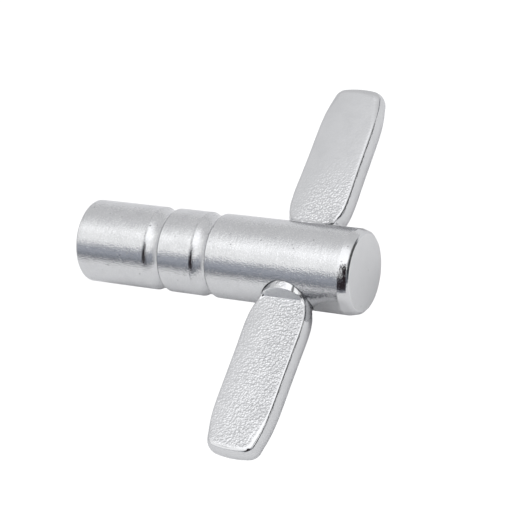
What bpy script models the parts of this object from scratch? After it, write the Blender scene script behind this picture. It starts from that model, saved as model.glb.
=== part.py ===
"""T-handled key for square spindles, made of two pieces.

barrel       turned bar with two grip grooves, a blind square socket and a cross hole
wing_handle  one round rod pressed through the cross hole, both ends forged into flat wings

The key lies on its barrel. +X runs along the barrel from the socket mouth to the
closed end, +Y along the wings and +Z up, normal to the wing flats.  The origin is
under the middle of the key, on the plane that the barrel lies on.
"""

import math

import bmesh
import bpy
from mathutils import Matrix

MM = 0.001

# Barrel
BARREL_DIAMETER = 12.0 * MM
BARREL_LENGTH = 43.0 * MM
CLOSED_END_CHAMFER_LENGTH = 1.40 * MM
CLOSED_END_CHAMFER_DEPTH = 0.65 * MM
CLOSED_END_CHAMFER_CROWN = 4.0 * MM
MOUTH_EDGE_BREAK = 0.20 * MM
BARREL_FACETS = 64

# Grip grooves, placed from the socket mouth
GROOVE_CENTRES = (12.4 * MM, 20.0 * MM)
# Distance from the groove's middle, and the slope of its wall there
GROOVE_WALL = (
    (0.0, 0.0),
    (0.40 * MM, math.radians(8.0)),
    (0.80 * MM, math.radians(15.0)),
    (1.05 * MM, math.radians(25.0)),
    (1.20 * MM, math.radians(34.0)),
    (1.30 * MM, math.radians(42.0)),
)

# Square socket: a broached square over a deeper pilot bore
SOCKET_ACROSS_FLATS = 5.1 * MM
SOCKET_DEPTH = 14.0 * MM
SOCKET_CORNER_RADIUS = 0.25 * MM
PILOT_DIAMETER = 5.3 * MM
PILOT_DEPTH = 16.5 * MM
PILOT_POINT_ANGLE = math.radians(118.0)
MOUTH_COUNTERSINK_DIAMETER = 7.8 * MM
MOUTH_COUNTERSINK_DEPTH = 0.7 * MM

# Wing handle
ROD_DIAMETER = 7.28 * MM
ROD_FACETS = 72
SEAT_CLEARANCE = 0.03 * MM
HANDLE_FROM_MOUTH = 33.2 * MM
# Where each wing's shoulder leaves the rod's crest and where it meets the flat: the -Y wing, then the +Y wing
SHOULDERS = ((5.86 * MM, 6.20 * MM), (5.08 * MM, 6.05 * MM))
WING_THICKNESS = 3.30 * MM
WING_LENGTH = 29.05 * MM
WING_TIP_CROWN = 12.0 * MM
WING_CORNER_RADIUS = 1.30 * MM
# The forged side starts just inside the round rod, so that it grows out of it without a step
NECK_PLAN = ((5.45 * MM, 3.00 * MM, 0.25 * MM), (5.85 * MM, 3.19 * MM, 0.37 * MM))
# Distance from the barrel axis, half width of the flat, bulge of the rounded side
WING_PLAN = (
    (6.20 * MM, 3.24 * MM, 0.40 * MM),
    (7.00 * MM, 3.50 * MM, 0.52 * MM),
    (8.00 * MM, 3.80 * MM, 0.58 * MM),
    (9.30 * MM, 4.01 * MM, 0.60 * MM),
    (11.0 * MM, 4.08 * MM, 0.60 * MM),
    (14.0 * MM, 4.03 * MM, 0.60 * MM),
    (18.0 * MM, 3.99 * MM, 0.60 * MM),
    (22.0 * MM, 3.98 * MM, 0.60 * MM),
    (24.3 * MM, 3.87 * MM, 0.60 * MM),
    (26.0 * MM, 3.63 * MM, 0.60 * MM),
    (27.3 * MM, 3.36 * MM, 0.60 * MM),
)
TIP_BULGE = 0.60 * MM
SIDE_LEVELS = 6

# Placement
BARREL_AXIS_HEIGHT = BARREL_DIAMETER / 2
MOUTH_X = -BARREL_LENGTH / 2
HANDLE_X = MOUTH_X + HANDLE_FROM_MOUTH


def clear_scene():
    for obj in list(bpy.data.objects):
        bpy.data.objects.remove(obj, do_unlink=True)
    for collection in list(bpy.data.collections):
        bpy.data.collections.remove(collection)


def new_collection(name, helper=False):
    collection = bpy.data.collections.new(name)
    bpy.context.scene.collection.children.link(collection)
    collection.hide_render = helper
    return collection


def metal(name, color, roughness):
    material = bpy.data.materials.new(name)
    material.use_nodes = True
    shader = material.node_tree.nodes["Principled BSDF"]
    shader.inputs["Base Color"].default_value = (*color, 1.0)
    shader.inputs["Metallic"].default_value = 1.0
    shader.inputs["Roughness"].default_value = roughness
    return material


def object_from(name, mesh, collection, material=None, matrix=None):
    obj = bpy.data.objects.new(name, mesh)
    collection.objects.link(obj)
    if material is not None:
        mesh.materials.append(material)
    if matrix is not None:
        obj.matrix_world = matrix
    return obj


def as_cutter(obj):
    obj.hide_render = True
    obj.display_type = "WIRE"
    return obj


def boolean(obj, name, operation, other):
    modifier = obj.modifiers.new(name, "BOOLEAN")
    modifier.operation = operation
    modifier.solver = "EXACT"
    modifier.object = other
    return modifier


def arc_between(start, end, radius, steps, side):
    """Points after start up to end on a circle of this radius; side +1 or -1 picks the centre."""
    (x0, y0), (x1, y1) = start, end
    chord = math.hypot(x1 - x0, y1 - y0)
    rise = math.sqrt(max(radius * radius - chord * chord / 4, 0.0))
    cx = (x0 + x1) / 2 - side * rise * (y1 - y0) / chord
    cy = (y0 + y1) / 2 + side * rise * (x1 - x0) / chord
    a0 = math.atan2(y0 - cy, x0 - cx)
    turn = math.atan2(y1 - cy, x1 - cx) - a0
    turn = (turn + math.pi) % (2 * math.pi) - math.pi
    return [
        (cx + radius * math.cos(a0 + turn * i / steps), cy + radius * math.sin(a0 + turn * i / steps))
        for i in range(1, steps + 1)
    ]


def turned_mesh(name, profile, turn=0.0):
    """A mesh of the profile edges, in (radius, height) pairs, for a Screw modifier about Z.

    A turn of half a facet makes a facet face along X, with its middle on the true circle.
    """
    mesh = bpy.data.meshes.new(name)
    points = [(radius, radius * math.tan(turn), height) for radius, height in profile]
    mesh.from_pydata(points, [(i, i + 1) for i in range(len(points) - 1)], [])
    return mesh


def turned(obj, steps):
    screw = obj.modifiers.new("turn", "SCREW")
    screw.axis = "Z"
    screw.angle = 2 * math.pi
    screw.steps = steps
    screw.render_steps = steps
    screw.use_merge_vertices = True
    screw.merge_threshold = 0.000001
    screw.use_smooth_shade = True
    return screw


def groove_wall():
    """(distance from the groove's middle, depth) from the groove's edge in to its middle, by adding up its slopes."""
    points = [(GROOVE_WALL[-1][0], 0.0)]
    for (near, low), (far, high) in reversed(list(zip(GROOVE_WALL, GROOVE_WALL[1:]))):
        for part in (0.5, 0.0):
            here = near + (far - near) * part
            slope = low + (high - low) * (part + 0.25)
            points.append((here, points[-1][1] + (points[-1][0] - here) * math.tan(slope)))
    return points


def barrel_profile():
    """From the middle of the closed end, along the outside, to the middle of the mouth face."""
    r = BARREL_DIAMETER / 2
    chamfer = [(r - CLOSED_END_CHAMFER_DEPTH, BARREL_LENGTH)]
    chamfer += arc_between(
        chamfer[0], (r, BARREL_LENGTH - CLOSED_END_CHAMFER_LENGTH), CLOSED_END_CHAMFER_CROWN, 6, -1
    )
    profile = [(0.0, BARREL_LENGTH)] + chamfer
    wall = groove_wall()
    for centre in sorted(GROOVE_CENTRES, reverse=True):
        profile += [(r - depth, centre + across) for across, depth in wall]
        profile += [(r - depth, centre - across) for across, depth in reversed(wall[:-1])]
    profile += [(r, MOUTH_EDGE_BREAK), (r - MOUTH_EDGE_BREAK, 0.0), (0.0, 0.0)]
    return profile


def socket_mesh(name):
    """The broached square, with its corners rounded, as a prism along Z that opens at the mouth."""
    half = SOCKET_ACROSS_FLATS / 2
    inner = half - SOCKET_CORNER_RADIUS
    outline = []
    for quarter in range(4):
        for step in range(4):
            angle = (quarter + step / 3) * math.pi / 2
            cx = inner * (1 if quarter in (0, 3) else -1)
            cy = inner * (1 if quarter in (0, 1) else -1)
            outline.append(
                (cx + SOCKET_CORNER_RADIUS * math.cos(angle), cy + SOCKET_CORNER_RADIUS * math.sin(angle))
            )
    mesh = bpy.data.meshes.new(name)
    shape = bmesh.new()
    face = shape.faces.new([shape.verts.new((x, y, -2 * MM)) for x, y in outline])
    top = bmesh.ops.extrude_face_region(shape, geom=[face])["geom"]
    moved = [item for item in top if isinstance(item, bmesh.types.BMVert)]
    bmesh.ops.translate(shape, vec=(0, 0, SOCKET_DEPTH + 2 * MM), verts=moved)
    bmesh.ops.recalc_face_normals(shape, faces=shape.faces)
    shape.to_mesh(mesh)
    shape.free()
    return mesh


def pilot_profile():
    """The drilled bore with its point and the countersink at the mouth, from the point outwards."""
    bore = PILOT_DIAMETER / 2
    sink = MOUTH_COUNTERSINK_DIAMETER / 2
    slope = (sink - bore) / MOUTH_COUNTERSINK_DEPTH
    point = bore / math.tan(PILOT_POINT_ANGLE / 2)
    over = 1.0 * MM
    return [
        (0.0, PILOT_DEPTH + point),
        (bore, PILOT_DEPTH),
        (bore, MOUTH_COUNTERSINK_DEPTH),
        (sink + slope * over, -over),
        (0.0, -over),
    ]


def cylinder_mesh(name, radius, half_length, facets):
    mesh = bpy.data.meshes.new(name)
    shape = bmesh.new()
    bmesh.ops.create_cone(
        shape, cap_ends=True, segments=facets, radius1=radius, radius2=radius, depth=2 * half_length
    )
    shape.to_mesh(mesh)
    shape.free()
    return mesh


def shoulder_mesh(name):
    """What the press leaves of the round rod: a block with a steep shoulder at each end."""
    reach = ROD_DIAMETER
    low = WING_THICKNESS / 2
    high = ROD_DIAMETER / 2 + 0.2 * MM
    deep = 0.4 * MM
    ends = []
    for start, end in SHOULDERS:
        slope = (end - start) / (ROD_DIAMETER / 2 - low)
        ends.append((start - slope * 0.2 * MM, end + slope * deep))
    (left_in, left_out), (right_in, right_out) = ends
    outline = [
        (right_out, -low + deep), (right_out, low - deep), (right_in, high),
        (-left_in, high), (-left_out, low - deep), (-left_out, -low + deep), (-left_in, -high), (right_in, -high),
    ]
    mesh = bpy.data.meshes.new(name)
    shape = bmesh.new()
    face = shape.faces.new([shape.verts.new((-reach, y, z)) for y, z in outline])
    moved = [
        item
        for item in bmesh.ops.extrude_face_region(shape, geom=[face])["geom"]
        if isinstance(item, bmesh.types.BMVert)
    ]
    bmesh.ops.translate(shape, vec=(2 * reach, 0, 0), verts=moved)
    bmesh.ops.recalc_face_normals(shape, faces=shape.faces)
    shape.to_mesh(mesh)
    shape.free()
    return mesh


def spline(table, s):
    """Monotone cubic through the rows of a table: the columns after the first, at s."""
    rows = list(table)
    if s <= rows[0][0]:
        return rows[0][1:]
    if s >= rows[-1][0]:
        return rows[-1][1:]
    k = max(i for i in range(len(rows) - 1) if rows[i][0] <= s)

    def slope(i, column):
        if i == 0 or i == len(rows) - 1:
            a, b = (0, 1) if i == 0 else (i - 1, i)
            return (rows[b][column] - rows[a][column]) / (rows[b][0] - rows[a][0])
        before = (rows[i][column] - rows[i - 1][column]) / (rows[i][0] - rows[i - 1][0])
        after = (rows[i + 1][column] - rows[i][column]) / (rows[i + 1][0] - rows[i][0])
        return 0.0 if before * after <= 0 else 2 * before * after / (before + after)

    width = rows[k + 1][0] - rows[k][0]
    t = (s - rows[k][0]) / width
    h00, h10 = 2 * t**3 - 3 * t**2 + 1, t**3 - 2 * t**2 + t
    h01, h11 = -2 * t**3 + 3 * t**2, t**3 - t**2
    return tuple(
        h00 * rows[k][c] + h10 * width * slope(k, c) + h01 * rows[k + 1][c] + h11 * width * slope(k + 1, c)
        for c in range(1, len(rows[0]))
    )


def wing_quarter():
    """(half width, distance, bulge) from the middle of the tip to the neck, for one quarter of the plan."""
    crown_centre = WING_LENGTH - WING_TIP_CROWN
    side = [(spline(WING_PLAN, s), s) for s in spaced(WING_PLAN[0][0], WING_PLAN[-1][0], 20)]
    (w1, bulge1), s1 = side[-1]
    (w0, _), s0 = side[-2]
    # The corner's circle touches the end of the side line and the inside of the crown.
    along = math.hypot(w1 - w0, s1 - s0)
    ux, us = (w1 - w0) / along, (s1 - s0) / along
    nx, ns = -us, ux
    radius = WING_CORNER_RADIUS
    # Slide along the side line until the corner circle is tangent to the crown from inside.
    low, high = -2.0 * MM, 3.0 * MM
    for _ in range(60):
        t = (low + high) / 2
        cx, cs = w1 + ux * t + nx * radius, s1 + us * t + ns * radius
        inside = math.hypot(cx, cs - crown_centre) + radius < WING_TIP_CROWN
        low, high = (t, high) if inside else (low, t)
    cx, cs = w1 + ux * t + nx * radius, s1 + us * t + ns * radius
    a0 = math.atan2(-ns, -nx)
    a1 = math.atan2(cs - crown_centre, cx)
    points = []
    for i in range(6):
        angle = math.pi / 2 + (a1 - math.pi / 2) * i / 6
        points.append((WING_TIP_CROWN * math.cos(angle), crown_centre + WING_TIP_CROWN * math.sin(angle), TIP_BULGE))
    for i in range(8):
        part = i / 7
        angle = a1 + (a0 - a1) * part
        bulge = TIP_BULGE + (bulge1 - TIP_BULGE) * part
        points.append((cx + radius * math.cos(angle), cs + radius * math.sin(angle), bulge))
    start = cs + radius * math.sin(a0)
    for (w, bulge), s in reversed(side):
        if s < start - 0.2 * MM:
            points.append((w, s, bulge))
    for s, w, bulge in reversed(NECK_PLAN):
        points.append((w, s, bulge))
    return points


def spaced(first, last, count):
    """Distances from first to last, closer together near first."""
    return [first + (last - first) * (i / count) ** 1.4 for i in range(count + 1)]


def blade_mesh(name):
    """Both wings and the neck between them: flat faces top and bottom, rounded sides."""
    quarter = wing_quarter()
    loop = [(x, s, b) for x, s, b in quarter]
    loop += [(x, -s, b) for x, s, b in reversed(quarter)]
    loop += [(-x, -s, b) for x, s, b in quarter[1:]]
    loop += [(-x, s, b) for x, s, b in reversed(quarter[1:])]
    count = len(loop)
    half = WING_THICKNESS / 2
    shape = bmesh.new()
    rings = []
    for level in range(-SIDE_LEVELS, SIDE_LEVELS + 1):
        z = half * math.sin(level / SIDE_LEVELS * math.pi / 2) if abs(level) < SIDE_LEVELS else half * (level / SIDE_LEVELS)
        ring = []
        for i, (x, y, bulge) in enumerate(loop):
            (xa, ya, _), (xb, yb, _) = loop[i - 1], loop[(i + 1) % count]
            tx, ty = xb - xa, yb - ya
            size = math.hypot(tx, ty)
            nx, ny = -ty / size, tx / size
            if nx * x + ny * y < 0:
                nx, ny = -nx, -ny
            arc = (half * half + bulge * bulge) / (2 * bulge)
            out = math.sqrt(arc * arc - z * z) - (arc - bulge)
            ring.append(shape.verts.new((x + nx * out, y + ny * out, z)))
        rings.append(ring)
    for lower, upper in zip(rings, rings[1:]):
        for i in range(count):
            j = (i + 1) % count
            shape.faces.new((lower[i], lower[j], upper[j], upper[i]))
    shape.faces.new(rings[0])
    shape.faces.new(rings[-1])
    bmesh.ops.recalc_face_normals(shape, faces=shape.faces)
    for face in shape.faces:
        face.smooth = len(face.verts) == 4
    mesh = bpy.data.meshes.new(name)
    shape.to_mesh(mesh)
    shape.free()
    return mesh


def build():
    clear_scene()
    parts = new_collection("square_spindle_key")
    cutters = new_collection("cutters", helper=True)
    bright = metal("bright_chrome", (0.57, 0.575, 0.585), 0.14)
    satin = metal("forged_chrome", (0.57, 0.575, 0.585), 0.20)

    # The barrel is modelled along Z from its mouth at 0, then laid along X.
    along_x = Matrix.Translation((MOUTH_X, 0, BARREL_AXIS_HEIGHT)) @ Matrix.Rotation(math.pi / 2, 4, "Y")
    across = Matrix.Translation((HANDLE_X, 0, BARREL_AXIS_HEIGHT)) @ Matrix.Rotation(math.pi / 2, 4, "X")
    handle_place = Matrix.Translation((HANDLE_X, 0, BARREL_AXIS_HEIGHT))

    barrel = object_from("barrel", turned_mesh("barrel", barrel_profile(), math.pi / BARREL_FACETS), parts, bright, along_x)
    turned(barrel, BARREL_FACETS)

    pilot = object_from("pilot_bore", turned_mesh("pilot_bore", pilot_profile()), cutters, None, along_x)
    turned(pilot, BARREL_FACETS)
    as_cutter(pilot)
    socket = as_cutter(object_from("square_socket", socket_mesh("square_socket"), cutters, None, along_x))
    cross = as_cutter(
        object_from(
            "cross_hole",
            cylinder_mesh("cross_hole", ROD_DIAMETER / 2 + SEAT_CLEARANCE, BARREL_DIAMETER, ROD_FACETS),
            cutters, None, across,
        )
    )
    boolean(barrel, "drill pilot bore", "DIFFERENCE", pilot)
    boolean(barrel, "broach socket", "DIFFERENCE", socket)
    boolean(barrel, "drill cross hole", "DIFFERENCE", cross)

    handle = object_from(
        "wing_handle",
        cylinder_mesh("wing_handle", ROD_DIAMETER / 2, SHOULDERS[0][1] + 1.0 * MM, ROD_FACETS),
        parts, satin, across,
    )
    for face in handle.data.polygons:
        face.use_smooth = len(face.vertices) == 4
    shoulders = as_cutter(
        object_from("press_shoulders", shoulder_mesh("press_shoulders"), cutters, None, handle_place)
    )
    blades = as_cutter(object_from("forged_wings", blade_mesh("forged_wings"), cutters, None, handle_place))
    boolean(handle, "press shoulders", "INTERSECT", shoulders)
    boolean(handle, "forge wings", "UNION", blades)


build()
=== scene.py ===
"""Looks for the square spindle key: a turned, plated barrel and a rod forged flat into two wings.

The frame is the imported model: metres, +X along the barrel to its closed end, +Y along the
wings, +Z up.  The key lies on its barrel on a pale floor, in soft studio light.
"""

import math

import bmesh
import bpy
import numpy as np
from mathutils import Euler, Matrix, Vector, noise


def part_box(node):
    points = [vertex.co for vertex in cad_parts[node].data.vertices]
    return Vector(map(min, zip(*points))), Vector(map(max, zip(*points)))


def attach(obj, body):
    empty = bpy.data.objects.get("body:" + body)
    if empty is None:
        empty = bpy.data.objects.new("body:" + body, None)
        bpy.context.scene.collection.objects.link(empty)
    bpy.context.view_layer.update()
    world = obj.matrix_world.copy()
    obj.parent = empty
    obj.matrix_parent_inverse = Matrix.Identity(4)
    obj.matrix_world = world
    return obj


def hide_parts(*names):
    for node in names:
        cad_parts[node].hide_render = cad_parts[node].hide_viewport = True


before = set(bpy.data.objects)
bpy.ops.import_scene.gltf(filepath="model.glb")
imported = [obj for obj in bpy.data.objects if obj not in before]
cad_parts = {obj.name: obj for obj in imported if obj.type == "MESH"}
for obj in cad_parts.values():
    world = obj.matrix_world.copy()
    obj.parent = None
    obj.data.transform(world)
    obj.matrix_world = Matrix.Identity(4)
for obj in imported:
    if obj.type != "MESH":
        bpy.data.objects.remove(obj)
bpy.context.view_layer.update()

MM = 0.001

# ---------------------------------------------------------------- the frame's own sizes
barrel_lo, barrel_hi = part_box("barrel")
handle_lo, handle_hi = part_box("wing_handle")
MOUTH_X = barrel_lo.x / MM
LENGTH = (barrel_hi.x - barrel_lo.x) / MM
RADIUS = (barrel_hi.z - barrel_lo.z) / 2 / MM
AXIS_Z = (barrel_lo.z + barrel_hi.z) / 2 / MM
ROD_R = (handle_hi.z - handle_lo.z) / 2 / MM
HANDLE_X = (handle_lo.x + handle_hi.x) / 2 / MM

# Barrel details, in millimetres from the mouth, as in the CAD
CHAMFER_LENGTH = 1.40
CHAMFER_DEPTH = 0.65
# Slope of the dressed end in degrees against distance from where it leaves the cylinder
CHAMFER_SLOPE = ((0.0, 17.0), (0.5, 18.5), (0.9, 20.5), (1.03, 21.5), (1.06, 40.0), (1.09, 51.0), (1.40, 58.0))
GROOVES = (12.4, 20.0)
GROOVE_HALF = 1.3
# Slope of the groove's wall in degrees against distance from its middle
GROOVE_SLOPE = ((0.0, 0.0), (0.4, 8.0), (0.8, 15.0), (1.05, 25.0), (1.2, 34.0), (1.3, 42.0))
SEAT_CLEARANCE = 0.03
SQUARE = 5.1
SQUARE_DEPTH = 14.0
SQUARE_CORNER = 0.25
PILOT = 5.3
PILOT_DEPTH = 16.5
SINK = 7.8
SINK_DEPTH = 0.7

# Wing details, in millimetres from the barrel's axis
# Where each wing's shoulder leaves the rod's crest and where it meets the flat
SHOULDER = {-1: (5.86, 6.20), 1: (5.08, 6.05)}
NECK_END = 7.0
HALF_THICK = 1.65
WING_LENGTH = 29.05
TIP_CROWN = 12.0
CORNER_R = 1.30
WING_PLAN = (
    (6.20, 3.24, 0.40), (7.00, 3.50, 0.52), (8.00, 3.80, 0.58), (9.30, 4.01, 0.60),
    (11.0, 4.08, 0.60), (14.0, 4.03, 0.60), (18.0, 3.99, 0.60), (22.0, 3.98, 0.60),
    (24.3, 3.87, 0.60), (26.0, 3.63, 0.60), (27.3, 3.36, 0.60),
)


# ---------------------------------------------------------------- small helpers
def smooth01(t):
    t = min(max(t, 0.0), 1.0)
    return t * t * (3 - 2 * t)


def lerp(a, b, t):
    return a + (b - a) * t


def mesh_object(name, verts, faces, collection=None):
    mesh = bpy.data.meshes.new(name)
    mesh.from_pydata([tuple(v) for v in verts], [], faces)
    mesh.validate()
    mesh.update()
    obj = bpy.data.objects.new(name, mesh)
    (collection or bpy.context.scene.collection).objects.link(obj)
    return obj


def spline(table, s):
    """Monotone cubic through the rows of a table: the columns after the first, at s."""
    rows = table
    if s <= rows[0][0]:
        return rows[0][1:]
    if s >= rows[-1][0]:
        return rows[-1][1:]
    k = max(i for i in range(len(rows) - 1) if rows[i][0] <= s)

    def slope(i, c):
        if i == 0 or i == len(rows) - 1:
            a, b = (0, 1) if i == 0 else (i - 1, i)
            return (rows[b][c] - rows[a][c]) / (rows[b][0] - rows[a][0])
        before = (rows[i][c] - rows[i - 1][c]) / (rows[i][0] - rows[i - 1][0])
        after = (rows[i + 1][c] - rows[i][c]) / (rows[i + 1][0] - rows[i][0])
        return 0.0 if before * after <= 0 else 2 * before * after / (before + after)

    width = rows[k + 1][0] - rows[k][0]
    t = (s - rows[k][0]) / width
    h00, h10 = 2 * t**3 - 3 * t**2 + 1, t**3 - 2 * t**2 + t
    h01, h11 = -2 * t**3 + 3 * t**2, t**3 - t**2
    return tuple(
        h00 * rows[k][c] + h10 * width * slope(k, c) + h01 * rows[k + 1][c] + h11 * width * slope(k + 1, c)
        for c in range(1, len(rows[0]))
    )


def linear(table, x):
    """Straight lines through (x, y) rows."""
    if x <= table[0][0]:
        return table[0][1]
    for (x0, y0), (x1, y1) in zip(table, table[1:]):
        if x <= x1:
            return lerp(y0, y1, (x - x0) / (x1 - x0))
    return table[-1][1]


def lump(x, y, z, size, seed=0.0):
    """Smooth noise from -1 to 1 whose lumps are about size millimetres across."""
    return noise.noise(Vector((x / size + seed, y / size + seed * 1.7, z / size - seed)))


# ---------------------------------------------------------------- the barrel
BARREL_STEPS = 256


def barrel_rings():
    """Rings of the turned outside as (x, radius, kind), from the mouth's middle to the closed end's."""
    rings = [(0.0, 0.0, "cap"), (0.0, 2.0, "cap"), (0.0, 4.4, "cap"), (0.0, 5.4, "face")]
    edge = 0.22
    for i in range(6):
        a = math.pi / 2 * i / 5
        rings.append((edge - edge * math.cos(a), RADIUS - edge + edge * math.sin(a), "turned"))
    # Depth of a groove against the distance from its middle, by adding up the slopes.
    steps = 120
    depth, groove = 0.0, [(GROOVE_HALF, 0.0)]
    for i in range(steps, 0, -1):
        d1, d0 = GROOVE_HALF * i / steps, GROOVE_HALF * (i - 1) / steps
        depth += (d1 - d0) * math.tan(math.radians(linear(GROOVE_SLOPE, (d0 + d1) / 2)))
        groove.append((d0, depth))
    wanted = [GROOVE_HALF * (1 - i / 24) for i in range(25)]
    half = [(d, linear(sorted(groove), d)) for d in wanted]
    xs = edge
    for centre in sorted(GROOVES):
        start = centre - GROOVE_HALF
        count = max(2, int((start - xs) / 0.5))
        rings += [(lerp(xs, start, i / count), RADIUS, "turned") for i in range(1, count)]
        rings += [(centre - d, RADIUS - h, "turned") for d, h in half]
        rings += [(centre + d, RADIUS - h, "turned") for d, h in reversed(half[:-1])]
        xs = centre + GROOVE_HALF
    start = LENGTH - CHAMFER_LENGTH - 0.26
    count = int((start - xs) / 0.4)
    rings += [(lerp(xs, start, i / count), RADIUS, "turned") for i in range(1, count + 1)]
    return rings


def chamfer_fall():
    """Rows of (part of the length, part of the depth) down the dressed end, by adding up its slopes."""
    steps = 140
    fall, rows = 0.0, [(0.0, 0.0)]
    for i in range(steps):
        x = CHAMFER_LENGTH * (i + 0.5) / steps
        fall += CHAMFER_LENGTH / steps * math.tan(math.radians(linear(CHAMFER_SLOPE, x)))
        rows.append(((i + 1) / steps, fall))
    return [(x, y / fall) for x, y in rows]


CHAMFER_FALL = chamfer_fall()


def chamfer_point(part, angle):
    """A point on the closed end's chamfer: part 0 where it leaves the cylinder, 1 at the disc's edge."""
    # The end was dressed by hand, so its chamfer is wider on one side.
    start = LENGTH - CHAMFER_LENGTH + 0.02 + 0.20 * math.cos(angle - math.radians(48))
    return lerp(start, LENGTH, part), RADIUS - CHAMFER_DEPTH * linear(CHAMFER_FALL, part)


def barrel_outside():
    rings = barrel_rings()
    verts, rows = [], []
    n = BARREL_STEPS

    def ring(function):
        row = []
        for k in range(n):
            a = 2 * math.pi * k / n
            x, r = function(a)
            row.append(len(verts))
            verts.append(((MOUTH_X + x) * MM, r * math.cos(a) * MM, (AXIS_Z + r * math.sin(a)) * MM))
        rows.append(row)

    for x, r, _ in rings[1:]:
        ring(lambda a, x=x, r=r: (x, r))
    # The chamfer with the slight lumps that the file left, then the disc's edge.
    def on_chamfer(part):
        def place(a):
            x, r = chamfer_point(part, a)
            y, z = math.cos(a) * 6, math.sin(a) * 6
            wave = 0.030 * lump(y, z, part * 1.4, 1.7, 3.0) + 0.011 * lump(y, z, part * 1.4, 0.75, 9.0)
            fade = math.sin(math.pi * part) ** 0.7 if part < 1 else 0.0
            return x + 0.35 * wave * fade, r + 0.9 * wave * fade
        return place

    for part in (0.0, 0.03, 0.08, 0.14, 0.2, 0.27, 0.34, 0.41, 0.48, 0.55, 0.62, 0.68, 0.74, 0.78, 0.81, 0.825, 0.84, 0.855, 0.87, 0.9, 0.93, 0.96, 0.985):
        ring(on_chamfer(part))
    edge_x, edge_r = LENGTH, RADIUS - CHAMFER_DEPTH
    ring(lambda a: (edge_x - 0.008, edge_r - 0.012))
    ring(lambda a: (edge_x, edge_r - 0.05))
    for r in (5.2, 4.7, 4.0, 3.2, 2.4, 1.6, 0.8):
        ring(lambda a, r=r: (edge_x - 0.012 * (1 - (r / 5.29) ** 2), r))
    faces = []
    for low, high in zip(rows, rows[1:]):
        for k in range(n):
            j = (k + 1) % n
            faces.append((low[k], low[j], high[j], high[k]))
    first, last = len(verts), len(verts) + 1
    verts.append((MOUTH_X * MM, 0.0, AXIS_Z * MM))
    verts.append(((MOUTH_X + LENGTH - 0.012) * MM, 0.0, AXIS_Z * MM))
    for k in range(n):
        j = (k + 1) % n
        faces.append((first, rows[0][j], rows[0][k]))
        faces.append((last, rows[-1][k], rows[-1][j]))
    return mesh_object("barrel_turned", verts, faces)


def ring_cutter(name, rings, close_low=True, close_high=True):
    """A closed cutter through rings of points, capped at both ends."""
    verts, rows = [], []
    for points in rings:
        rows.append(range(len(verts), len(verts) + len(points)))
        verts += points
    faces = []
    n = len(rows[0])
    for low, high in zip(rows, rows[1:]):
        for k in range(n):
            j = (k + 1) % n
            faces.append((low[k], low[j], high[j], high[k]))
    faces.append(tuple(reversed(rows[0])))
    faces.append(tuple(rows[-1]))
    obj = mesh_object(name, verts, faces)
    work = bmesh.new()
    work.from_mesh(obj.data)
    bmesh.ops.recalc_face_normals(work, faces=work.faces)
    work.to_mesh(obj.data)
    work.free()
    obj.hide_render = True
    obj.display_type = "WIRE"
    return obj


def hole_cutter():
    """The rod's hole with a small rounding that follows the barrel's surface at both mouths."""
    r = ROD_R + SEAT_CLEARANCE
    soft = 0.20
    n = 160
    profile = [(0.0, 0.0)]
    inside = [(-1.3, 0.0)]
    inside += [(-soft + soft * math.sin(a), soft - soft * math.cos(a)) for a in (0.0, 0.26, 0.52, 0.79, 1.05, 1.31)]
    inside += [(0.004, soft), (1.2, soft + 0.10)]
    rings = []
    for sign in (-1, 1):
        part = []
        for offset, flare in inside:
            points = []
            for k in range(n):
                a = 2 * math.pi * k / n
                z = r * math.sin(a)
                surface = math.sqrt(RADIUS * RADIUS - z * z)
                rr = r + flare
                points.append(
                    ((HANDLE_X + rr * math.cos(a)) * MM, sign * (surface + offset) * MM, (AXIS_Z + rr * math.sin(a)) * MM)
                )
            part.append(points)
        rings += part if sign > 0 else list(reversed(part))
    return ring_cutter("cross_hole_cutter", rings)


def square_outline(size, corner, steps=6):
    half, inner, outline = size / 2, size / 2 - corner, []
    for quarter in range(4):
        for step in range(steps + 1):
            a = (quarter + step / steps) * math.pi / 2
            cx = inner * (1 if quarter in (0, 3) else -1)
            cy = inner * (1 if quarter in (0, 1) else -1)
            outline.append((cx + corner * math.cos(a), cy + corner * math.sin(a)))
    return outline


def socket_cutter():
    outline = square_outline(SQUARE, SQUARE_CORNER)
    rings = []
    for x, shrink in ((-1.0, 0.0), (SQUARE_DEPTH - 0.25, 0.0), (SQUARE_DEPTH - 0.08, 0.04), (SQUARE_DEPTH, 0.16)):
        k = 1 - shrink / (SQUARE / 2)
        rings.append([((MOUTH_X + x) * MM, y * k * MM, (AXIS_Z + z * k) * MM) for y, z in outline])
    return ring_cutter("socket_cutter", rings)


def pilot_cutter():
    bore, sink = PILOT / 2, SINK / 2
    slope = (sink - bore) / SINK_DEPTH
    point = bore / math.tan(math.radians(59))
    profile = [
        (-0.5, sink + slope * 0.5), (0.0, sink), (SINK_DEPTH - 0.04, bore + 0.06), (SINK_DEPTH + 0.03, bore + 0.012),
        (SINK_DEPTH + 0.12, bore), (8.0, bore), (PILOT_DEPTH, bore), (PILOT_DEPTH + point * 0.985, bore * 0.015),
    ]
    n = 128
    rings = []
    for x, r in profile:
        rings.append([
            ((MOUTH_X + x) * MM, r * math.cos(2 * math.pi * k / n) * MM, (AXIS_Z + r * math.sin(2 * math.pi * k / n)) * MM)
            for k in range(n)
        ])
    return ring_cutter("pilot_cutter", rings)


def finished_mesh(obj, name, cutters=()):
    """The object's mesh with its modifiers applied, as a new object, with the cutters removed."""
    graph = bpy.context.evaluated_depsgraph_get()
    mesh = bpy.data.meshes.new_from_object(obj.evaluated_get(graph), depsgraph=graph)
    bpy.data.objects.remove(obj)
    for cutter in cutters:
        bpy.data.objects.remove(cutter)
    mesh.name = name
    result = bpy.data.objects.new(name, mesh)
    bpy.context.scene.collection.objects.link(result)
    return result


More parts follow.
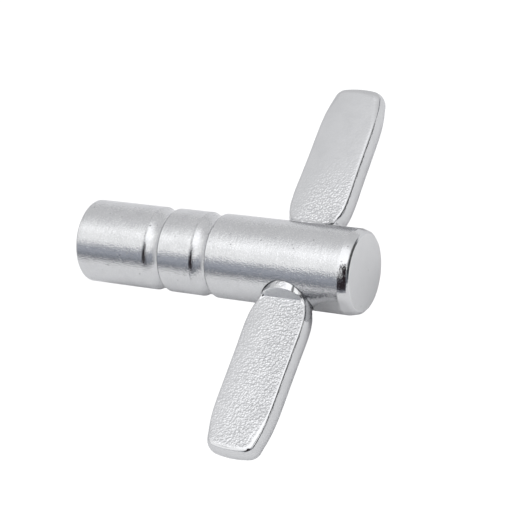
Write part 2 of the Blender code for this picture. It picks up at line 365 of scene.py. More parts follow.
def build_barrel():
    outside = barrel_outside()
    cutters = [pilot_cutter(), socket_cutter(), hole_cutter()]
    for cutter in cutters:
        cut = outside.modifiers.new(cutter.name, "BOOLEAN")
        cut.operation = "DIFFERENCE"
        cut.solver = "EXACT"
        cut.object = cutter
    barrel = finished_mesh(outside, "plated_barrel", cutters)
    mesh = barrel.data
    work = bmesh.new()
    work.from_mesh(mesh)
    bmesh.ops.remove_doubles(work, verts=work.verts, dist=1e-7)
    bmesh.ops.dissolve_degenerate(work, edges=work.edges, dist=2e-7)
    work.to_mesh(mesh)
    work.free()
    mesh.shade_smooth()
    mesh.set_sharp_from_angle(angle=math.radians(32))
    # Round the hole, the turned surface keeps the true cylinder's normals.
    normals = [tuple(n.vector) for n in mesh.corner_normals]
    radius = []
    for v in mesh.vertices:
        radius.append(math.hypot(v.co.y, v.co.z - AXIS_Z * MM) / MM)
    low, high = MOUTH_X + GROOVES[1] + GROOVE_HALF + 0.1, MOUTH_X + LENGTH - CHAMFER_LENGTH - 0.45
    for poly in mesh.polygons:
        if all(abs(radius[i] - RADIUS) < 0.004 for i in poly.vertices) and all(
            low < mesh.vertices[i].co.x / MM < high for i in poly.vertices
        ):
            for loop in poly.loop_indices:
                co = mesh.vertices[mesh.loops[loop].vertex_index].co
                n = Vector((0.0, co.y, co.z - AXIS_Z * MM)).normalized()
                normals[loop] = tuple(n)
    mesh.normals_split_custom_set(normals)
    return barrel


# ---------------------------------------------------------------- the handle
COLUMNS = 60
FLAT_ROWS = 170
SOFT_STEPS = 6
EDGE_STEPS = 5
SIDE_STEPS = 10
ROD_ROWS = 8
WALL_ROWS = 18
NECK_X = 3.10


def half_width(s):
    """Half the wing's width at s, running on straight past the plan's last row."""
    last = WING_PLAN[-1][0]
    if s <= last:
        return spline(WING_PLAN, s)[0]
    w1, w0 = spline(WING_PLAN, last)[0], spline(WING_PLAN, last - 0.4)[0]
    return w1 + (w1 - w0) / 0.4 * (s - last)


def corner_circle():
    """The circle that joins the wing's side to its crowned tip: middle, both tangent angles and the side's end."""
    centre = WING_LENGTH - TIP_CROWN
    s1 = WING_PLAN[-1][0]
    w1, _ = spline(WING_PLAN, s1)
    w0, _ = spline(WING_PLAN, s1 - 0.4)
    along = math.hypot(w1 - w0, 0.4)
    ux, us = (w1 - w0) / along, 0.4 / along
    nx, ns = -us, ux
    low, high = -2.0, 3.0
    for _ in range(60):
        t = (low + high) / 2
        cx, cs = w1 + ux * t + nx * CORNER_R, s1 + us * t + ns * CORNER_R
        inside = math.hypot(cx, cs - centre) + CORNER_R < TIP_CROWN
        low, high = (t, high) if inside else (low, t)
    a0 = math.atan2(-ns, -nx)
    a1 = math.atan2(cs - centre, cx)
    return centre, (cx, cs, a0, a1), cs + CORNER_R * math.sin(a0)


CROWN_CENTRE, CORNER, SIDE_END = corner_circle()


def outline_points(rows, columns):
    """Points (x, s, nx, ns, bulge) of the right half of the flat's outline: its side to the corner's middle, then its tip."""
    cx, cs, a0, a1 = CORNER
    mid = (a0 + a1) / 2

    def side(s):
        w, bulge = half_width(s), spline(WING_PLAN, s)[1]
        d = 0.05
        slope = (half_width(s + d) - half_width(s - d)) / (2 * d) * smooth01((s - NECK_END) / 1.2)
        size = math.hypot(1.0, slope)
        return w, s, 1 / size, -slope / size, bulge

    def corner(a):
        return cx + CORNER_R * math.cos(a), cs + CORNER_R * math.sin(a), math.cos(a), math.sin(a), 0.60

    def crown(a):
        return TIP_CROWN * math.cos(a), CROWN_CENTRE + TIP_CROWN * math.sin(a), math.cos(a), math.sin(a), 0.60

    right = [side(NECK_END + (SIDE_END - NECK_END) * i / 600) for i in range(600)]
    right += [corner(a0 + (mid - a0) * i / 40) for i in range(41)]
    tip = [corner(mid + (a1 - mid) * i / 40) for i in range(41)]
    tip += [crown(a1 + (math.pi / 2 - a1) * i / 80) for i in range(1, 81)]

    def even(points, count, power=1.0):
        table = np.array(points)
        steps = np.hypot(np.diff(table[:, 0]), np.diff(table[:, 1]))
        total = np.concatenate([[0.0], np.cumsum(steps)])
        at = total[-1] * (np.arange(count + 1) / count) ** power
        return list(zip(*[np.interp(at, total, table[:, c]) for c in range(5)]))

    return even(right, rows, 1.12), even(tip, columns // 2)


def soft_radius(x, s):
    """Radius of the broad roll-off at the flat's edge: wide at the tip."""
    at_tip = smooth01((s - 24.9) / 2.5) * (1 - 0.55 * smooth01((-x - 0.5) / 3.0))
    side = smooth01((x - 1.0) / 1.2)
    at_tip = max(at_tip, side * smooth01((s - 22.5) / 4.9))
    at_root = side * (1 - smooth01((s - 7.2) / 3.4))
    return lerp(0.40, 0.8, smooth01((x + 1.6) / 3.2)) + 0.08 * lump(x, s, 0, 3.0, 5.0) + 1.25 * at_tip + 0.22 * at_root


def hard_radius(x, s):
    """Radius of the edge itself: worn rounder towards the tip's corner on the closed end's side."""
    worn = smooth01((s - 23.5) / 3.5) * smooth01((x - 1.3) / 1.3)
    return 0.085 + 0.03 * lump(x, s, 0, 1.8, 11.0) + 0.36 * worn


def crown_drop(x, s):
    """How far the flat falls away towards its edges."""
    w = half_width(min(s, 27.3))
    return 0.075 * min(abs(x) / w, 1.0) ** 2.2 * smooth01((s - 6.2) / 3.0)


def side_section(point):
    """(outward, height) pairs over the wing's edge: roll-off, edge, then the bulged side down to mid height."""
    x, s, nx, ns, bulge = point
    top = HALF_THICK - crown_drop(x, s)
    arc = (HALF_THICK**2 + bulge * bulge) / (2 * bulge)
    r1, r2 = soft_radius(x, s), hard_radius(x, s)
    a0 = math.pi / 2 - math.radians(2.2) * smooth01((s - 8) / 3) * smooth01((abs(nx) - 0.2) / 0.6)
    a1 = math.radians(63)
    end = math.asin((top + r1 * (math.sin(a1) - math.sin(a0)) - r2 * math.sin(a1)) / (arc - r2))
    q = arc * math.cos(end) - (arc - bulge) - r1 * (math.cos(a1) - math.cos(a0)) - r2 * (math.cos(end) - math.cos(a1))
    z = top
    pairs = [(q, z)]
    for i in range(SOFT_STEPS):
        b0, b1 = lerp(a0, a1, i / SOFT_STEPS), lerp(a0, a1, (i + 1) / SOFT_STEPS)
        q, z = q + r1 * (math.cos(b1) - math.cos(b0)), z + r1 * (math.sin(b1) - math.sin(b0))
        pairs.append((q, z))
    for i in range(EDGE_STEPS):
        b0, b1 = lerp(a1, end, i / EDGE_STEPS), lerp(a1, end, (i + 1) / EDGE_STEPS)
        q, z = q + r2 * (math.cos(b1) - math.cos(b0)), z + r2 * (math.sin(b1) - math.sin(b0))
        pairs.append((q, z))
    for i in range(1, SIDE_STEPS + 1):
        a = end * (1 - i / SIDE_STEPS)
        pairs.append((arc * math.cos(a) - (arc - bulge), arc * math.sin(a)))
    return pairs


def relief(x, y, z):
    """The forged skin's relief in millimetres: slow waves with peened dimples on them."""
    s = abs(y)
    wave = 0.011 * lump(x, y, z, 4.2, 1.0) + 0.0045 * lump(x, y, z, 1.7, 2.0)
    far = smooth01((s - 12) / 14)
    near = 1.0 - (0.75 if y > 0 else 0.25) * far
    near *= 0.6 + 0.4 * smooth01((x + 2.5) / 4.0)
    fine = 0.0018 * lump(x, y, z, 0.75, 4.0) + 0.0010 * lump(x, y, z, 0.45, 7.0)
    return wave + near * fine


def ramp_shape(t, ease):
    """0 to 1 with its slope eased in over the first part and out over the last part."""
    t = min(max(t, 0.0), 1.0)
    top = 1 / (1 - ease)
    if t < ease:
        return top * t * t / (2 * ease)
    if t > 1 - ease:
        return 1 - top * (1 - t) ** 2 / (2 * ease)
    return top * (t - ease / 2)


def build_handle():
    m, n = FLAT_ROWS, COLUMNS
    right, tip_half = outline_points(m, n)
    left = [(-x, s, -nx, ns, b) for x, s, nx, ns, b in right]
    tip = tip_half + [(-x, s, -nx, ns, b) for x, s, nx, ns, b in reversed(tip_half[:-1])]
    boundary = right + tip[1:-1] + list(reversed(left))
    sections = [side_section(point) for point in boundary]
    strips = [[(p[0] + p[2] * q, p[1] + p[3] * q, z) for q, z in pairs] for p, pairs in zip(boundary, sections)]
    depth = len(strips[0]) - 1
    edge = np.array([strip[0] for strip in strips])
    right_e, tip_e, left_e = edge[: m + 1], edge[m : m + n + 1], edge[m + n :][::-1]
    tip_l = tip_e[::-1]
    gaps = np.hypot(*np.diff(right_e[:, :2], axis=0).T)
    share = np.concatenate([[0.0], np.cumsum(gaps)])
    share /= share[-1]
    # where the flat's outline starts at the neck, on either hand
    starts_at = {1: (right_e[0][0], right_e[0][2]), -1: (-left_e[0][0], left_e[0][2])}
    z_neck = math.sqrt(ROD_R**2 - NECK_X**2)

    verts, faces = [], []

    def add(x, y, z):
        verts.append((x, y, z))
        return len(verts) - 1

    for side in (1, -1):
        crest, root = SHOULDER[side]
        lean = (root - crest) / (ROD_R - HALF_THICK)

        def column(u):
            """Rows (x, s, z) of one column from the barrel's axis to the flat's first row."""
            outer = smooth01((abs(u) - 0.74) / 0.26)
            x_rod = NECK_X * u
            zc = math.sqrt(ROD_R**2 - x_rod**2)
            begin = lerp(root - lean * (zc - HALF_THICK) - 0.08, 5.68, outer)
            finish = lerp(root + 0.15, NECK_END, outer)
            wall_end = root + 0.15
            x_edge, z_edge = starts_at[1 if u > 0 else -1]
            x_start = u * lerp(NECK_X, x_edge, lerp(0.25, 1.0, outer))
            z_start = lerp(HALF_THICK, z_edge, outer)
            shelf = 0.13 * outer
            ease = lerp(0.2, 0.5, outer)
            last = smooth01((abs(u) - 0.86) / 0.14)
            rows = [(x_rod, s, zc) for s in (0.0, 2.4, 4.0)]
            rows += [(x_rod, lerp(4.0, begin, (i / ROD_ROWS) ** 0.7), zc) for i in range(1, ROD_ROWS)]
            for i in range(WALL_ROWS + 1):
                t = i / WALL_ROWS
                t = lerp(t, smooth01(t), 0.45)
                s = lerp(begin, finish, t)
                wall = 1 - ramp_shape((s - begin) / (wall_end - begin), ease)
                slow = 1 - smooth01((s - 5.9) / (finish - 5.9))
                z = z_start + shelf * slow + (zc - z_start - shelf) * wall
                z = lerp(z, lerp(zc, z_start, smooth01(t)), last)
                rows.append((lerp(x_rod, x_start, smooth01(t)), s, z))
            # The forging drew the rod's crest down a little towards its shoulder.
            sunk = 0.15 * (1 - outer)
            return [
                (x, s, z - sunk * smooth01((s - 4.55) / 1.9) * min(1.0, (z - HALF_THICK) / 0.8)) for x, s, z in rows
            ]

        us = [-1 + 2 * i / n for i in range(n + 1)]
        columns = [column(u) for u in us]
        count = len(columns[0])
        starts = [c[-1][1] for c in columns]
        root_e = np.array([c[-1] for c in columns])
        grid = np.zeros((m + 1, n + 1, 3))
        for j in range(m + 1):
            v = share[j]
            for i in range(n + 1):
                u = i / n
                grid[j, i] = (
                    (1 - v) * root_e[i] + v * tip_l[i] + (1 - u) * left_e[j] + u * right_e[j]
                    - ((1 - v) * (1 - u) * left_e[0] + (1 - v) * u * right_e[0]
                       + v * (1 - u) * left_e[-1] + v * u * right_e[-1])
                )
                if 0 < i < n and 0 < j < m:
                    grid[j, i, 2] = HALF_THICK - crown_drop(grid[j, i, 0], grid[j, i, 1])

        def lifted(x, s, z, start, inside):
            """Height with the forged skin on it; inside is 0 at the flat's outline and 1 well within it."""
            part = 0.3 + 0.7 * smooth01((s - start) / 0.7)
            return z + relief(x, side * s, z) * part * inside

        for top in (1, -1):
            base = np.zeros((count + m, n + 1), int)
            for i in range(n + 1):
                across = smooth01((1 - abs(us[i])) * 3.9 / 1.1)
                for j in range(count):
                    x, s, z = columns[i][j]
                    worn = smooth01((s - 5.2) / 0.5)
                    z = lerp(z, lifted(x, s, z, starts[i], across), worn)
                    base[j, i] = add(x, side * s, top * z)
                for j in range(1, m + 1):
                    x, s, z = grid[j, i]
                    inside = across * smooth01((1 - share[j]) * 21.5 / 1.6)
                    base[count - 1 + j, i] = add(x, side * s, top * lifted(x, s, z, starts[i], inside))
            for j in range(count + m - 1):
                for i in range(n):
                    ring = (base[j, i], base[j, i + 1], base[j + 1, i + 1], base[j + 1, i])
                    faces.append(ring if side * top > 0 else ring[::-1])

        def full_strip(points):
            """Indices over the side, from the upper edge to the lower one."""
            up = [add(x, side * s, z) for x, s, z in points]
            down = [add(x, side * s, -z) for x, s, z in reversed(points[:-1])]
            return up + down

        def shaped(k, strip):
            """A strip's points with its first one on the flat and the rest with slow waves of the drawn side."""
            points = []
            for q, (x, s, z) in enumerate(strip):
                if q == 0:
                    points.append((x, s, lifted(x, s, z, NECK_END, 0.0)))
                    continue
                nx, ns = boundary[k][2], boundary[k][3]
                wave = 0.016 * lump(x, side * s, z, 3.4, 6.0) + 0.006 * lump(x, side * s, z * 0.5, 1.0, 8.0)
                wave *= math.sin(math.pi / 2 * q / depth) * smooth01((s - 7.0) / 1.5)
                points.append((x + nx * wave, s + ns * wave, z))
            return points

        blade = [full_strip(shaped(k, strip)) for k, strip in enumerate(strips)]
        for near, far in zip(blade, blade[1:]):
            for k in range(len(near) - 1):
                ring = (far[k], far[k + 1], near[k + 1], near[k])
                faces.append(ring if side > 0 else ring[::-1])
        for hand, col, strip in ((1, n, strips[0]), (-1, 0, strips[-1])):
            neck = []
            a_top = math.asin(z_neck / ROD_R)
            for j in range(count):
                x0, s, z0 = columns[col][j]
                part = (j - (count - 1 - WALL_ROWS)) / WALL_ROWS
                part = lerp(part, smooth01(part), 0.45) if part > 0 else 0.0
                points = []
                for k in range(depth + 1):
                    if k == 0:
                        worn = smooth01((s - 5.2) / 0.5)
                        points.append((x0, s, lerp(z0, lifted(x0, s, z0, NECK_END, 0.0), worn)))
                        continue
                    a = a_top * (1 - k / depth)
                    w = smooth01(part) ** (1 + 0.9 * k / depth)
                    x = lerp(ROD_R * math.cos(a), hand * strip[k][0], w)
                    points.append((hand * x, s, lerp(ROD_R * math.sin(a), strip[k][2], w)))
                neck.append(full_strip(points))
            for near, far in zip(neck, neck[1:]):
                for k in range(len(near) - 1):
                    ring = (far[k], far[k + 1], near[k + 1], near[k])
                    # the left strip runs the other way round
                    if (side > 0) == (hand > 0):
                        ring = ring[::-1]
                    faces.append(ring)
    placed = [((HANDLE_X + x) * MM, y * MM, (AXIS_Z + z) * MM) for x, y, z in verts]
    handle = mesh_object("forged_handle", placed, faces)
    work = bmesh.new()
    work.from_mesh(handle.data)
    bmesh.ops.remove_doubles(work, verts=work.verts, dist=1.5e-6)
    bmesh.ops.dissolve_degenerate(work, edges=work.edges, dist=5e-7)
    bmesh.ops.recalc_face_normals(work, faces=work.faces)
    loose = sum(1 for e in work.edges if not e.is_manifold)
    work.to_mesh(handle.data)
    work.free()
    print("handle: edges not closed", loose, "faces", len(handle.data.polygons))
    handle.data.shade_smooth()
    return handle


# ---------------------------------------------------------------- materials
class Nodes:
    """Short names for building a material's or the world's nodes."""

    def __init__(self, tree):
        self.tree = tree

    def add(self, kind, **settings):
        node = self.tree.nodes.new(kind)
        for key, value in settings.items():
            setattr(node, key, value)
        return node

    def link(self, a, b):
        self.tree.links.new(a, b)

    def put(self, socket, value):
        if isinstance(value, bpy.types.NodeSocket):
            self.link(value, socket)
        else:
            socket.default_value = value

    def math(self, operation, *values, clamp=False):
        node = self.add("ShaderNodeMath", operation=operation, use_clamp=clamp)
        for socket, value in zip(node.inputs, values):
            self.put(socket, value)
        return node.outputs[0]

    def vector(self, operation, *values):
        node = self.add("ShaderNodeVectorMath", operation=operation)
        for socket, value in zip(node.inputs, values):
            self.put(socket, value)
        return node.outputs[0]

    def ramp(self, value, low, high, to_low=0.0, to_high=1.0, kind="SMOOTHSTEP"):
        node = self.add("ShaderNodeMapRange", interpolation_type=kind)
        for name, v in (("Value", value), ("From Min", low), ("From Max", high), ("To Min", to_low), ("To Max", to_high)):
            self.put(node.inputs[name], v)
        return node.outputs[0]

    def noise(self, vector, scale, detail=2.0, roughness=0.5, distortion=0.0):
        node = self.add("ShaderNodeTexNoise")
        self.put(node.inputs["Vector"], vector)
        node.inputs["Scale"].default_value = scale
        node.inputs["Detail"].default_value = detail
        node.inputs["Roughness"].default_value = roughness
        node.inputs["Distortion"].default_value = distortion
        return node.outputs["Fac"]

    def mix(self, factor, a, b):
        node = self.add("ShaderNodeMix", data_type="RGBA")
        self.put(node.inputs[0], factor)
        self.put(node.inputs[6], a)
        self.put(node.inputs[7], b)
        return node.outputs[2]

    def bump(self, height, distance, strength=1.0, normal=None):
        node = self.add("ShaderNodeBump")
        node.inputs["Strength"].default_value = strength
        node.inputs["Distance"].default_value = distance
        self.put(node.inputs["Height"], height)
        if normal is not None:
            self.put(node.inputs["Normal"], normal)
        return node.outputs["Normal"]


def new_metal(name, color):
    material = bpy.data.materials.new(name)
    material.use_nodes = True
    nodes = Nodes(material.node_tree)
    shader = material.node_tree.nodes["Principled BSDF"]
    shader.inputs["Metallic"].default_value = 1.0
    shader.inputs["Specular Tint"].default_value = (0.85, 0.85, 0.86, 1.0)
    shader.inputs["Base Color"].default_value = (*color, 1.0)
    coords = nodes.add("ShaderNodeTexCoord").outputs["Object"]
    return material, nodes, shader, coords


def barrel_material():
    """Chrome plate over fine turning marks, with wear, small pits and scratches and a satin closed end."""
    material, nd, shader, coords = new_metal("bright_chrome", (0.57, 0.575, 0.585))
    split = nd.add("ShaderNodeSeparateXYZ")
    nd.link(coords, split.inputs[0])
    x = split.outputs[0]
    mm = nd.vector("SCALE", coords)
    mm.node.inputs["Scale"].default_value = 1000.0
    # 0 on the barrel's length, 1 on the closed end's disc, and the filed chamfer between them
    disc = nd.ramp(x, (MOUTH_X + LENGTH - 0.06) * MM, (MOUTH_X + LENGTH - 0.02) * MM)
    end = nd.ramp(x, (MOUTH_X + LENGTH - 1.6) * MM, (MOUTH_X + LENGTH - 1.3) * MM)
    # turning marks: fine along the barrel, long round it
    stretch = nd.vector("MULTIPLY", mm, (1.0, 0.16, 0.16))
    marks = nd.noise(stretch, 3.4, 3.0, 0.65)
    marks_wide = nd.noise(stretch, 1.5, 2.0, 0.5)
    skin = nd.noise(mm, 1.9, 3.0, 0.6)
    fine = nd.noise(mm, 5.2, 2.0, 0.6)
    smudge = nd.noise(mm, 0.45, 3.0, 0.6, 0.4)
    pits = nd.add("ShaderNodeTexVoronoi", feature="F1")
    nd.link(mm, pits.inputs["Vector"])
    pits.inputs["Scale"].default_value = 0.62
    pit = nd.ramp(pits.outputs["Distance"], 0.03, 0.12, 1.0, 0.0)
    # scratches: short nicks in a few worn places
    nicks = nd.noise(nd.vector("MULTIPLY", mm, (1.0, 0.7, 0.7)), 3.4, 3.0, 0.62, 0.3)
    place = nd.ramp(nd.noise(mm, 0.42, 1.0, 0.5), 0.58, 0.70)
    scratch = nd.math("MULTIPLY", nd.ramp(nicks, 0.62, 0.70), place)
    rough = nd.math("ADD", 0.060, nd.math("MULTIPLY", nd.ramp(smudge, 0.35, 0.75), 0.06))
    rough = nd.math("ADD", rough, nd.math("MULTIPLY", disc, 0.24))
    rough = nd.math("ADD", rough, nd.math("MULTIPLY", nd.math("MAXIMUM", pit, scratch), 0.2), clamp=True)
    nd.link(rough, shader.inputs["Roughness"])
    tone = nd.mix(nd.ramp(smudge, 0.3, 0.8), (0.585, 0.59, 0.60, 1), (0.545, 0.55, 0.56, 1))
    tone = nd.mix(nd.math("MULTIPLY", nd.math("MAXIMUM", pit, scratch), 0.55), tone, (0.20, 0.20, 0.21, 1))
    # painted highlight: lighter flecks in the plate's colour along the barrel stand in for sparkle in its reflections
    painted_glint = nd.math("MULTIPLY", nd.ramp(fine, 0.52, 0.68), nd.math("SUBTRACT", 1.0, end))
    tone = nd.mix(nd.math("MULTIPLY", painted_glint, 0.26), tone, (0.80, 0.805, 0.81, 1))
    tone = nd.mix(nd.math("MULTIPLY", disc, 0.7), tone, (0.70, 0.705, 0.71, 1))
    nd.link(tone, shader.inputs["Base Color"])
    calm = nd.math("SUBTRACT", nd.math("SUBTRACT", 1.0, nd.math("MULTIPLY", end, 0.62)), nd.math("MULTIPLY", disc, 0.23))
    height = nd.math("MULTIPLY", marks, 0.80)
    for part, amount in ((marks_wide, 0.65), (skin, 0.55), (fine, 1.05)):
        height = nd.math("ADD", height, nd.math("MULTIPLY", part, amount))
    height = nd.math("SUBTRACT", height, nd.math("MULTIPLY", nd.math("MAXIMUM", pit, scratch), 0.45))
    height = nd.math("MULTIPLY", height, calm)
    nd.link(nd.bump(height, 0.00003), shader.inputs["Normal"])
    return material


def handle_material():
    """Plate over the forging's skin: peened grains on the flats, drawn marks on the sides, sheared shoulders."""
    material, nd, shader, coords = new_metal("forged_chrome", (0.57, 0.575, 0.585))
    mm = nd.vector("SCALE", coords)
    mm.node.inputs["Scale"].default_value = 1000.0
    geometry = nd.add("ShaderNodeNewGeometry")
    facing = nd.add("ShaderNodeSeparateXYZ")
    nd.link(geometry.outputs["Normal"], facing.inputs[0])
    flat = nd.ramp(nd.math("ABSOLUTE", facing.outputs[2]), 0.80, 0.97)
    level = nd.ramp(nd.math("ABSOLUTE", facing.outputs[2]), 0.945, 0.989)
    place = nd.add("ShaderNodeSeparateXYZ")
    nd.link(mm, place.inputs[0])
    along = nd.math("ABSOLUTE", place.outputs[1])
    # the wall where the rod steps down to the wing
    sheared = nd.math("MULTIPLY", nd.ramp(nd.math("ABSOLUTE", facing.outputs[1]), 0.70, 0.88), nd.ramp(along, 6.4, 6.9, 1.0, 0.0))
    # cells of peened grain, broken up by noise
    jitter = nd.vector("ADD", mm, nd.vector("SCALE", nd.add("ShaderNodeTexNoise").outputs["Color"]))
    shift = jitter.node.inputs[1].links[0].from_node
    shift.inputs["Scale"].default_value = 0.35
    wobble = shift.inputs[0].links[0].from_node
    nd.link(mm, wobble.inputs["Vector"])
    wobble.inputs["Scale"].default_value = 2.2
    cells = nd.add("ShaderNodeTexVoronoi", feature="SMOOTH_F1")
    nd.link(jitter, cells.inputs["Vector"])
    cells.inputs["Scale"].default_value = 3.3
    cells.inputs["Smoothness"].default_value = 0.3
    grains = nd.noise(mm, 4.2, 2.0, 0.6, 0.2)
    drawn = nd.noise(nd.vector("MULTIPLY", mm, (0.8, 0.35, 1.0)), 3.4, 3.0, 0.6)
    smudge = nd.noise(mm, 0.35, 3.0, 0.6, 0.5)
    # grain is strongest near the barrel and towards the closed-end side, and fades to the far tip
    fade = nd.ramp(place.outputs[1], 4.0, 18.0, 0.92, 0.07)
    across = nd.ramp(place.outputs[0], HANDLE_X - 3.8, HANDLE_X + 2.4, 0.30, 1.42)
    amount = nd.math("MULTIPLY", fade, across)
    amount = nd.math("MULTIPLY", amount, nd.ramp(smudge, 0.25, 0.7, 0.85, 1.1))
    grain = nd.math("SUBTRACT", nd.math("MULTIPLY", grains, 0.55), nd.math("MULTIPLY", cells.outputs["Distance"], 0.85))
    height = nd.math("MULTIPLY", grain, nd.math("MULTIPLY", amount, level))
    sides = nd.math("MULTIPLY", nd.math("MULTIPLY", drawn, 0.17), nd.math("SUBTRACT", 1.0, flat))
    height = nd.math("ADD", height, sides)
    height = nd.math("ADD", height, nd.math("MULTIPLY", nd.math("MULTIPLY", sheared, grains), 0.9))
    nd.link(nd.bump(height, 0.0001), shader.inputs["Normal"])
    rough = nd.math("ADD", 0.085, nd.math("MULTIPLY", nd.ramp(smudge, 0.35, 0.75), 0.07))
    rough = nd.math("ADD", rough, nd.math("MULTIPLY", sheared, 0.25), clamp=True)
    nd.link(rough, shader.inputs["Roughness"])
    tone = nd.mix(nd.ramp(smudge, 0.3, 0.8), (0.605, 0.61, 0.62, 1), (0.57, 0.575, 0.585, 1))
    # painted shade: the grain's crevices are darkened in the plate's colour
    painted_crevice_shade = nd.ramp(cells.outputs["Distance"], 0.36, 0.66)
    painted_crevice_shade = nd.math("MULTIPLY", nd.math("MULTIPLY", painted_crevice_shade, amount), level)
    tone = nd.mix(nd.math("MULTIPLY", painted_crevice_shade, 0.13, clamp=True), tone, (0.26, 0.265, 0.275, 1))
    # and painted highlights: its peaks are lightened in the plate's colour, standing in for sparkle
    painted_peak_sparkle = nd.math("MULTIPLY", nd.ramp(grain, -0.02, 0.10), nd.math("MULTIPLY", amount, level))
    tone = nd.mix(nd.math("MULTIPLY", painted_peak_sparkle, 0.44, clamp=True), tone, (0.86, 0.865, 0.87, 1))
    # painted light: the sheared wall's colour is raised nearly to white so that the wall reads bright
    tone = nd.mix(nd.math("MULTIPLY", sheared, 0.9), tone, (0.92, 0.925, 0.93, 1))
    nd.link(tone, shader.inputs["Base Color"])
    return material


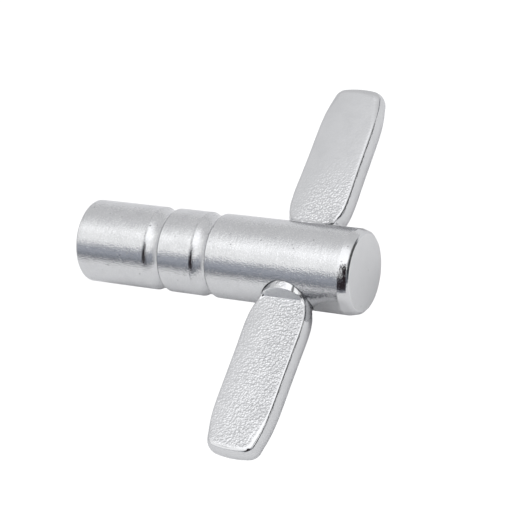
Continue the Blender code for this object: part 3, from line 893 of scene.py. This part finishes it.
# ---------------------------------------------------------------- studio
def studio_world():
    """A white tent round the key with an opening for the camera: what the plate mirrors.

    The camera itself sees only the plain pale backdrop.
    """
    world = bpy.data.worlds.new("studio")
    bpy.context.scene.world = world
    world.use_nodes = True
    world.node_tree.nodes.clear()
    nd = Nodes(world.node_tree)
    split = nd.add("ShaderNodeSeparateXYZ")
    nd.link(nd.add("ShaderNodeTexCoord").outputs["Generated"], split.inputs[0])
    x, y, z = split.outputs
    up = nd.math("MULTIPLY", nd.math("ARCSINE", z), 180 / math.pi)

    def panel(color, azimuth, half_width, low, high, soft, radiance, tint=(1, 1, 1), amount=1.0, soft_low=None):
        """Paints a soft-edged panel centred on an azimuth, in degrees, between two elevations."""
        c, s = math.cos(math.radians(azimuth)), math.sin(math.radians(azimuth))
        along = nd.math("ADD", nd.math("MULTIPLY", x, c), nd.math("MULTIPLY", y, s))
        aside = nd.math("SUBTRACT", nd.math("MULTIPLY", y, c), nd.math("MULTIPLY", x, s))
        turn = nd.math("MULTIPLY", nd.math("ABSOLUTE", nd.math("ARCTAN2", aside, along)), 180 / math.pi)
        inside = nd.ramp(turn, half_width - soft, half_width + soft, 1.0, 0.0)
        sl = soft if soft_low is None else soft_low
        above = nd.ramp(up, low - sl, low + sl)
        below = nd.ramp(up, high - soft, high + soft, 1.0, 0.0)
        factor = nd.math("MULTIPLY", nd.math("MULTIPLY", inside, above), below)
        if amount != 1.0:
            factor = nd.math("MULTIPLY", factor, amount)
        return nd.mix(factor, color, (*[radiance * t for t in tint], 1.0))

    # tent: bright roof, paler walls
    ramp = nd.add("ShaderNodeValToRGB")
    stops = ((-90, 1.0), (-2, 0.95), (0, 0.84), (20, 0.84), (36, 0.85), (45, 0.93), (53, 1.05), (58, 1.25), (62, 1.58), (70, 1.68), (90, 1.72))
    ramp.color_ramp.interpolation = "LINEAR"
    elements = ramp.color_ramp.elements
    while len(elements) > 1:
        elements.remove(elements[-1])
    scale = 2.0
    for i, (angle, value) in enumerate(stops):
        at = (angle + 90) / 180
        element = elements[0] if i == 0 else elements.new(at)
        element.position = at
        element.color = (value / scale, value / scale, value / scale * 1.01, 1)
    nd.link(nd.ramp(up, -90, 90, 0, 1, "LINEAR"), ramp.inputs[0])
    color = nd.vector("SCALE", ramp.outputs[0])
    color.node.inputs["Scale"].default_value = scale

    cool = (0.93, 0.98, 1.10)
    # front left: lit upper wall over a darker low wall
    color = panel(color, -148, 52, 39, 64, 3, 1.36)
    color = panel(color, -158, 16, 55.5, 59.6, 1.0, 1.0)
    color = panel(color, 159, 7, 56.5, 62, 2, 1.06)
    color = panel(color, 178, 9, 59.5, 66, 1.5, 1.95)
    color = panel(color, -114, 28, 7, 39.5, 1.6, 0.55, cool)
    color = panel(color, -114, 28, 7, 18, 2.4, 0.23, cool)
    color = panel(color, -114, 28, 35, 41, 1.2, 0.32, cool)
    color = panel(color, -60, 42, 3, 24, 3, 0.32, cool)
    # front right: strip light over a dark low wall
    color = panel(color, 8, 50, 0, 21, 2, 0.20, cool)
    color = panel(color, 14, 30, 2, 18, 2, 0.08, cool)
    color = panel(color, 0, 32, 24, 37, 4, 0.85)
    color = panel(color, -4, 17, 18, 31, 3, 0.18)
    color = panel(color, -2, 28, 38, 51, 3, 1.65)
    color = panel(color, -2, 34, 51.5, 62, 2.5, 0.32)
    color = panel(color, 28, 17, 0, 28, 2, 0.15)
    # the camera, its stand and the person behind it
    color = panel(color, -45, 12, 20, 60, 3, 0.32, cool)
    color = panel(color, -66, 19, 38, 72, 2.5, 0.025, (1.2, 0.9, 1.05))
    color = panel(color, -67, 24, 9, 43, 2.5, 0.03, (1.2, 0.9, 1.05))

    shade = nd.add("ShaderNodeBackground")
    nd.link(color, shade.inputs["Color"])
    plain = nd.add("ShaderNodeBackground")
    plain.inputs["Color"].default_value = (1.0, 1.0, 1.0, 1.0)
    plain.inputs["Strength"].default_value = 1.0
    path = nd.add("ShaderNodeLightPath")
    both = nd.add("ShaderNodeMixShader")
    nd.link(path.outputs["Is Camera Ray"], both.inputs[0])
    nd.link(shade.outputs[0], both.inputs[1])
    nd.link(plain.outputs[0], both.inputs[2])
    out = nd.add("ShaderNodeOutputWorld")
    nd.link(both.outputs[0], out.inputs["Surface"])


def floor(name, height, albedo, glow, seen):
    """A pale matt table top: one that the camera sees, and one that the plate mirrors, with deeper shadows."""
    size, n = 3.0, 12
    verts = [(-size + 2 * size * i / n, -size + 2 * size * j / n, height) for j in range(n + 1) for i in range(n + 1)]
    faces = [
        (j * (n + 1) + i, j * (n + 1) + i + 1, (j + 1) * (n + 1) + i + 1, (j + 1) * (n + 1) + i)
        for j in range(n) for i in range(n)
    ]
    obj = mesh_object(name, verts, faces)
    material = bpy.data.materials.new(name)
    material.use_nodes = True
    shader = material.node_tree.nodes["Principled BSDF"]
    shader.inputs["Base Color"].default_value = (albedo, albedo, albedo, 1)
    shader.inputs["Roughness"].default_value = 0.9
    shader.inputs["Specular IOR Level"].default_value = 0.0
    shader.inputs["Emission Color"].default_value = (1, 1, 1, 1)
    shader.inputs["Emission Strength"].default_value = glow
    obj.data.materials.append(material)
    obj.visible_camera = seen
    for kind in ("glossy", "diffuse", "transmission", "shadow"):
        setattr(obj, "visible_" + kind, not seen)
    return obj


def camera():
    """The photograph's viewing angle, as a place, three angles and a lens."""
    data = bpy.data.cameras.new("camera")
    data.sensor_width = 36.0
    data.lens = 115.032
    data.clip_start = 0.01
    data.clip_end = 20.0
    obj = bpy.data.objects.new("camera", data)
    bpy.context.scene.collection.objects.link(obj)
    obj.location = (0.11069741, -0.10000677, 0.18869451)
    obj.rotation_euler = Euler([math.radians(a) for a in (33.81386127, 19.49096893, 19.98666422)], "XYZ")
    bpy.context.scene.camera = obj


# ---------------------------------------------------------------- put together
barrel = build_barrel()
barrel.data.materials.clear()
barrel.data.materials.append(barrel_material())
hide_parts("barrel")
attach(barrel, "root")

handle = build_handle()
handle.data.materials.clear()
handle.data.materials.append(handle_material())
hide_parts("wing_handle")
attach(handle, "root")

floor("studio_floor", -0.00002, 0.56, 0.50, True)
floor("studio_floor_mirrored", -0.00001, 1.0, 0.06, False)
studio_world()
camera()
bpy.context.scene.view_settings.view_transform = "Standard"
